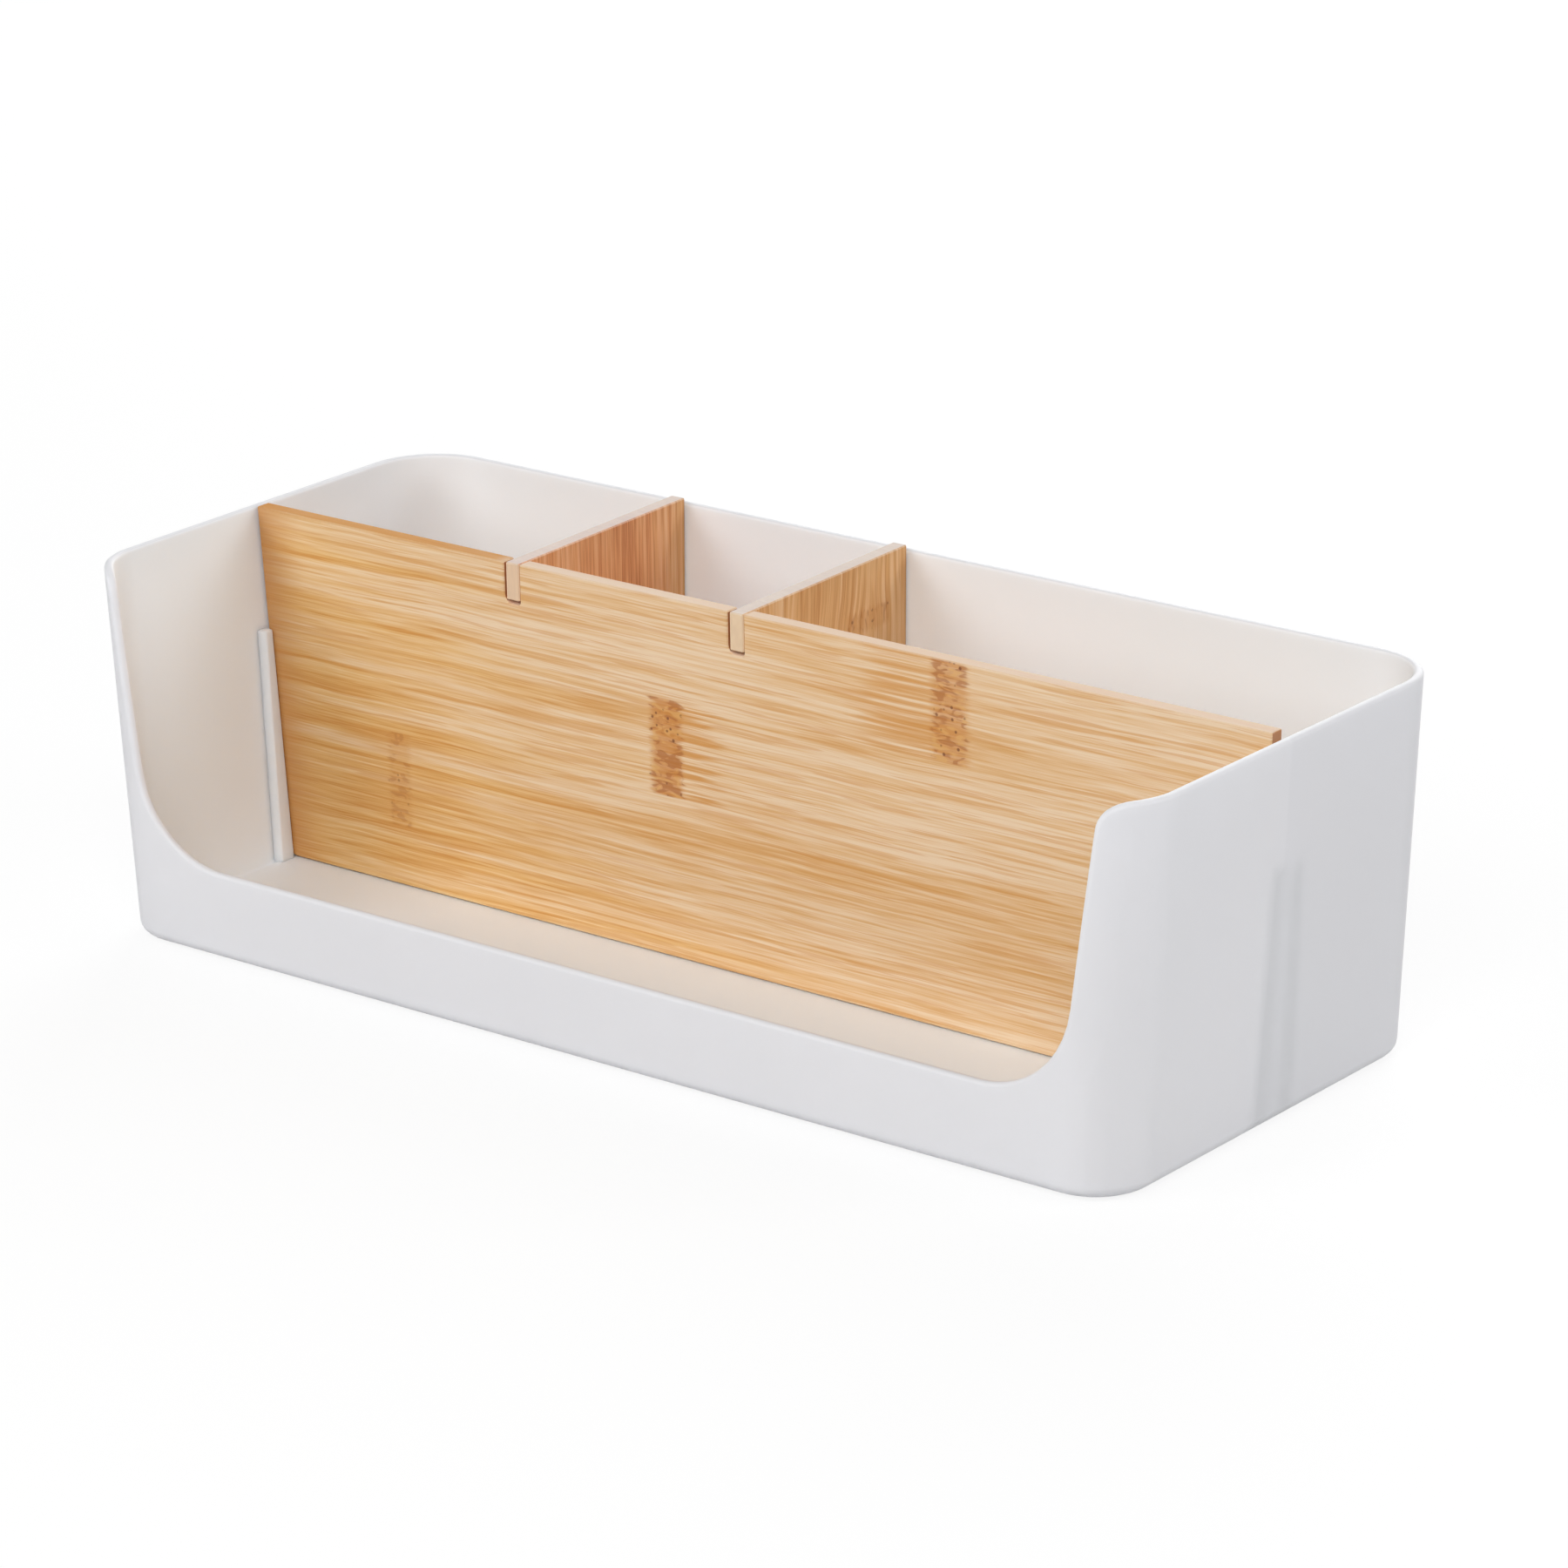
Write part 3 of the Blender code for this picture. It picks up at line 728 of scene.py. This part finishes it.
def add_rib(bm, shape, quarter_turns, face, side):
    """A guide rib on the wall that quarter_turns bring the right end's wall to. Its flat side
    is at face, across the wall, and it widens towards side."""
    s = shape.settings

    def wall_at(z):
        return shape.half_size(z)[quarter_turns % 2] - s.wall

    verts = bmesh.ops.create_cube(bm, size=2.0)["verts"]
    for vert in verts:
        at_wall, far, high = [part > 0 for part in vert.co]
        z = shape.base_z + (s.rib_height if high else s.floor / 2)
        width = (RIB_TOP_WIDTH if high else RIB_FOOT_WIDTH) + (RIB_FLARE if at_wall else 0.0)
        x = wall_at(z) + s.wall / 2 if at_wall else wall_at(z) - s.rib_reach
        vert.co = (x, face + side * (width if far else 0.0), z)
    top = shape.base_z + s.rib_height - 0.01 * MM
    edges = {edge for vert in verts for edge in vert.link_edges
             if all(v.co.x < wall_at(v.co.z) for v in edge.verts)
             or all(v.co.z > top for v in edge.verts)}
    rounded = bmesh.ops.bevel(bm, geom=list(edges), offset=RIB_ROUNDING, offset_type="OFFSET",
                              segments=3, profile=0.5, affect="EDGES", material=-1)
    known = set(rounded["verts"]) | {vert for vert in verts if vert.is_valid}
    rib = known | {end for vert in known for edge in vert.link_edges for end in edge.verts}
    for rib_face in {rib_face for vert in rib for rib_face in vert.link_faces}:
        rib_face.material_index = 1
    bmesh.ops.rotate(bm, cent=(0.0, 0.0, 0.0), verts=list(rib),
                     matrix=Matrix.Rotation(quarter_turns * math.pi / 2, 3, "Z"))


def add_guide_ribs(bm, shape):
    """Two ribs at each end of the long board and at the rear end of each short one."""
    for face, side in ((BOARD_LOW.y - RIB_PLAY, -1), (BOARD_HIGH.y + RIB_PLAY, 1)):
        add_rib(bm, shape, 0, face, side)
        add_rib(bm, shape, 2, -face, -side)
    for name in CROSS_DIVIDERS:
        low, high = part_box(name)
        add_rib(bm, shape, 1, -high.x - RIB_PLAY, -1)
        add_rib(bm, shape, 1, -low.x + RIB_PLAY, 1)


class STORAGEBOX_OT_tray(Operator):
    """Model the moulded tray with its rounded rim, front opening and guide ribs"""
    bl_idname = "storage_box.tray"
    bl_label = "Moulded tray"

    def execute(self, context):
        settings = context.scene.storage_box_tray
        shape = TrayShape(settings)
        skin = tray_sheet(shape)
        # The inner skin's lighter white is painted light, for the light that fills the box.
        skins = (moulded_plastic("white_plastic_outside", settings.outside, True),
                 moulded_plastic("white_plastic_inside", settings.inside, False))
        for material in skins:
            skin.data.materials.append(material)
        bm = thickened(skin, shape)
        add_guide_ribs(bm, shape)
        bmesh.ops.recalc_face_normals(bm, faces=bm.faces)
        tray = add_object("moulded_tray", bm)
        tray.data.shade_smooth()
        tray.data.set_sharp_from_angle(angle=math.radians(SHARP_ANGLE))
        with_settings(tray.modifiers.new("Even shading", "WEIGHTED_NORMAL"), keep_sharp=True,
                      weight=80)
        for material in skins:
            tray.data.materials.append(material)
        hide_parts("tray")
        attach(tray, "tray")
        return {"FINISHED"}


class STORAGEBOX_OT_long_divider(Operator):
    """Give the long board its bamboo, with the grain along it and three knuckles"""
    bl_idname = "storage_box.long_divider"
    bl_label = "Long divider"

    def execute(self, context):
        settings = context.scene.storage_box_bamboo
        amber = (settings.amber_deep, settings.amber_middle, settings.amber_pale)
        beige = (settings.beige_deep, settings.beige_middle, settings.beige_pale)
        # The drift from amber at the lower left to beige is partly the board's own colour and
        # partly painted shade from the left wall.
        dress("long_divider", bamboo(
            "bamboo_lengthwise", settings, turn=(0.0, 0.0, 0.0), wave=2.5,
            families=(amber, beige), drift=((1.0, 0.0, 0.9), -105.0, 40.0),
            knuckles=LONG_KNUCKLES, wall_end_brown=((1.0, 0.0, END_SLOPE), -126.0, -144.0),
            top_course=((1.0, 0.0, 0.0), -74.0, -66.0), crest=settings.long_top_colour,
            cut=("X", settings.end_grain, (0.72, 0.95), 0.85)))
        return {"FINISHED"}


class STORAGEBOX_OT_cross_dividers(Operator):
    """Give the two short boards a redder bamboo with upright grain"""
    bl_idname = "storage_box.cross_dividers"
    bl_label = "Cross dividers"

    def execute(self, context):
        settings = context.scene.storage_box_bamboo
        red = (settings.red_deep, settings.red_middle, settings.red_pale)
        tan = (settings.tan_deep, settings.tan_middle, settings.tan_pale)
        finishes = (("red_bamboo", 3.0, (red, tan), ()),
                    ("tan_bamboo", 18.0, (tan, tan), CROSS_KNUCKLES))
        for node, (name, wave, families, knuckles) in zip(CROSS_DIVIDERS, finishes):
            dress(node, bamboo(
                name, settings, turn=(math.pi / 2, 0.0, math.pi / 2), wave=wave,
                families=families, drift=((0.0, 0.0, 1.0), 38.0, 64.0), knuckles=knuckles,
                wall_end_brown=((-0.027, 0.0, 1.0), 55.8, 57.2),
                top_course=((1.0, 0.0, 0.0), 80.0, 85.0), crest=settings.short_top_colour,
                cut=("Y", settings.tab_face, (0.5, 0.65), 0.75)))
        return {"FINISHED"}


class STORAGEBOX_OT_pads(Operator):
    """Give the four anti-slip pads their rubber"""
    bl_idname = "storage_box.pads"
    bl_label = "Anti-slip pads"

    def execute(self, context):
        rubber = pad_rubber(context.scene.storage_box_pads)
        for name in PADS:
            dress(name, rubber)
        return {"FINISHED"}


# The stage

def add_soft_light(name, place, size, power):
    """A square lamp that faces the box."""
    lamp = bpy.data.lights.new(name, "AREA")
    lamp.size = size
    lamp.energy = power
    item = bpy.data.objects.new(name, lamp)
    item.location = place
    item.rotation_euler = (LAMP_TARGET - Vector(place)).to_track_quat("-Z", "Y").to_euler()
    bpy.context.scene.collection.objects.link(item)


def add_world(settings):
    """Even light all round, with a white backdrop behind the floor."""
    world = bpy.data.worlds.new("studio")
    world.use_nodes = True
    tree = world.node_tree
    even = tree.nodes["Background"]
    plug_in(tree, even, {"Color": WHITE, "Strength": settings.sky})
    backdrop = add_node(tree, "Background", {"Color": WHITE, "Strength": 1.0})
    mixed = add_node(tree, "MixShader", {0: seen_directly(tree), 1: even.outputs["Background"],
                                         2: backdrop.outputs["Background"]})
    plug_in(tree, tree.nodes["World Output"], {"Surface": mixed.outputs["Shader"]})
    bpy.context.scene.world = world


def add_camera(settings):
    """A pinhole camera at the photograph's place."""
    azimuth, elevation, roll = settings.azimuth, settings.elevation, settings.roll
    back = Vector((math.sin(azimuth) * math.cos(elevation),
                   -math.cos(azimuth) * math.cos(elevation), math.sin(elevation)))
    level = Vector((math.cos(azimuth), math.sin(azimuth), 0.0))
    upright = back.cross(level)
    right = level * math.cos(roll) + upright * math.sin(roll)
    up = upright * math.cos(roll) - level * math.sin(roll)
    off_middle = Vector([pixel - PICTURE_SIDE / 2 for pixel in TARGET_PIXEL]) / PIXELS_PER_METRE
    place = (TARGET + back * FOCAL_PIXELS / PIXELS_PER_METRE - right * off_middle.x
             + up * off_middle.y)
    lens = bpy.data.cameras.new("camera")
    lens.sensor_width = SENSOR_WIDTH
    lens.lens = FOCAL_PIXELS / PICTURE_SIDE * SENSOR_WIDTH
    lens.clip_end = 20.0
    camera = bpy.data.objects.new("camera", lens)
    turn = Matrix((right, up, back)).transposed().to_4x4()
    camera.matrix_world = Matrix.Translation(place) @ turn
    bpy.context.scene.collection.objects.link(camera)
    bpy.context.scene.camera = camera


class STORAGEBOX_OT_stage(Operator):
    """Set up the floor, the soft lights and the camera"""
    bl_idname = "storage_box.stage"
    bl_label = "Stage"

    def execute(self, context):
        settings = context.scene.storage_box_stage
        bm = bmesh.new()
        bmesh.ops.create_grid(bm, x_segments=1, y_segments=1, size=4.0)
        floor = add_object("floor", bm)
        floor.data.materials.append(stage_floor(settings))
        for name, place, size in LAMPS:
            add_soft_light(name + "_light", place, size, getattr(settings, name))
        add_world(settings)
        add_camera(settings)
        context.scene.view_settings.view_transform = "Standard"
        return {"FINISHED"}


class STORAGEBOX_PT_panel(Panel):
    bl_idname = "STORAGEBOX_PT_panel"
    bl_label = "Compartment storage box"
    bl_space_type = "VIEW_3D"
    bl_region_type = "UI"
    bl_category = "Storage box"

    def draw(self, context):
        layout = self.layout
        for operator in OPERATORS:
            layout.operator(operator.bl_idname)
        for name, group in SETTINGS:
            settings = getattr(context.scene, name)
            box = layout.box()
            for field in group.__annotations__:
                box.prop(settings, field)


OPERATORS = (STORAGEBOX_OT_stage, STORAGEBOX_OT_tray, STORAGEBOX_OT_long_divider,
             STORAGEBOX_OT_cross_dividers, STORAGEBOX_OT_pads)
CLASSES = tuple(group for name, group in SETTINGS) + OPERATORS + (STORAGEBOX_PT_panel,)


def register():
    for item in CLASSES:
        bpy.utils.register_class(item)
    for name, group in SETTINGS:
        setattr(bpy.types.Scene, name, PointerProperty(type=group))


def unregister():
    for name, group in SETTINGS:
        delattr(bpy.types.Scene, name)
    for item in reversed(CLASSES):
        bpy.utils.unregister_class(item)


def main():
    register()
    bpy.ops.storage_box.stage()
    bpy.ops.storage_box.tray()
    bpy.ops.storage_box.long_divider()
    bpy.ops.storage_box.cross_dividers()
    bpy.ops.storage_box.pads()


if __name__ == "__main__":
    main()
